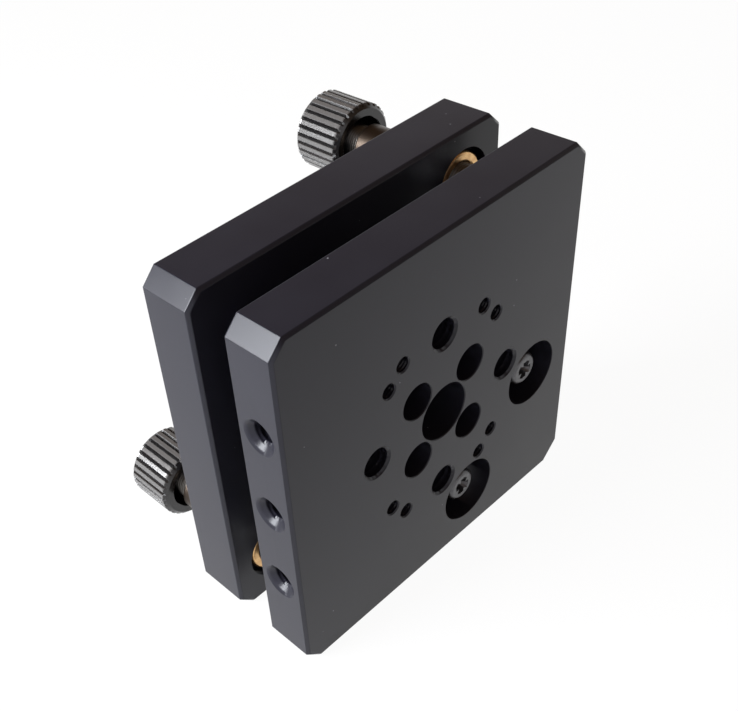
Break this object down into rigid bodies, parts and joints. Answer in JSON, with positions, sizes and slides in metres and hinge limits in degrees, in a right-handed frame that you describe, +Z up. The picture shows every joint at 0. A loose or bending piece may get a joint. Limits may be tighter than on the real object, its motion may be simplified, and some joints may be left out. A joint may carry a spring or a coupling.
{
  "type": "two-axis tilt stage",
  "caption": "Square two-plate kinematic tilt stage with two knurled fine adjusters at opposite corners.",
  "frame": {"origin": "centre of the platform's front face, on the centre bore's axis", "axes": "+X right and +Z up on the platform's face, +Y from that face back towards the knobs"},
  "size_m": [0.065, 0.0478, 0.065],
  "materials": {
    "anodised_plate": "fine bead-blasted and black anodised aluminium, satin",
    "knob_black": "black anodised aluminium with a straight knurl, glossier than the plates",
    "bronze": "turned brass, bright",
    "spindle_steel": "ground stainless steel with a fine thread",
    "ball_steel": "polished bearing steel",
    "seat_steel": "hardened and ground steel",
    "black_oxide": "steel blackened by oxide, slightly oily",
    "spring_steel": "drawn spring wire"
  },
  "bodies": {
    "base": {"base_plate": "anodised_plate", "upper_bushing": "bronze", "lower_bushing": "bronze", "base_cone_seat": "seat_steel", "right_spring_screw": "black_oxide", "bottom_spring_screw": "black_oxide", "right_spring": "spring_steel", "bottom_spring": "spring_steel"},
    "pivot": {"pivot_ball": "ball_steel"},
    "platform": {"platform_plate": "anodised_plate", "platform_cone_seat": "seat_steel", "vee_seat": "seat_steel", "flat_seat": "seat_steel"},
    "upper_tip": {"upper_tip_ball": "ball_steel"},
    "upper_adjuster": {"upper_spindle": "spindle_steel", "upper_knob": "knob_black", "upper_set_screw": "black_oxide"},
    "lower_tip": {"lower_tip_ball": "ball_steel"},
    "lower_adjuster": {"lower_spindle": "spindle_steel", "lower_knob": "knob_black", "lower_set_screw": "black_oxide"}
  },
  "joints": [
    {"name": "elevation_tilt", "type": "hinge", "parent": "base", "child": "pivot", "pos_m": [0.0235, 0.0125, -0.0235], "axis": [-1, 0, 0], "range_deg": [-2.44, 2.44], "deforming": ["right_spring", "bottom_spring"]},
    {"name": "azimuth_tilt", "type": "hinge", "parent": "pivot", "child": "platform", "pos_m": [0.0235, 0.0125, -0.0235], "axis": [0, 0, -1], "range_deg": [-2.44, 2.44], "deforming": ["right_spring", "bottom_spring"]},
    {"name": "upper_feed", "type": "slide", "parent": "base", "child": "upper_tip", "axis": [0, 1, 0], "range_m": [-0.002, 0.002]},
    {"name": "upper_turn", "type": "hinge", "parent": "upper_tip", "child": "upper_adjuster", "pos_m": [0.0235, 0.0125, 0.0235], "axis": [0, 1, 0], "range_deg": [-1440.1, 1440.1]},
    {"name": "lower_feed", "type": "slide", "parent": "base", "child": "lower_tip", "axis": [0, 1, 0], "range_m": [-0.002, 0.002]},
    {"name": "lower_turn", "type": "hinge", "parent": "lower_tip", "child": "lower_adjuster", "pos_m": [-0.0235, 0.0125, -0.0235], "axis": [0, 1, 0], "range_deg": [-1440.1, 1440.1]}
  ],
  "couplings": [
    {"joint": "upper_turn", "follows": "upper_feed", "rad_per_m": 12566},
    {"joint": "elevation_tilt", "follows": "upper_feed", "rad_per_m": 21.277},
    {"joint": "lower_turn", "follows": "lower_feed", "rad_per_m": 12566},
    {"joint": "azimuth_tilt", "follows": "lower_feed", "rad_per_m": 21.277}
  ]
}
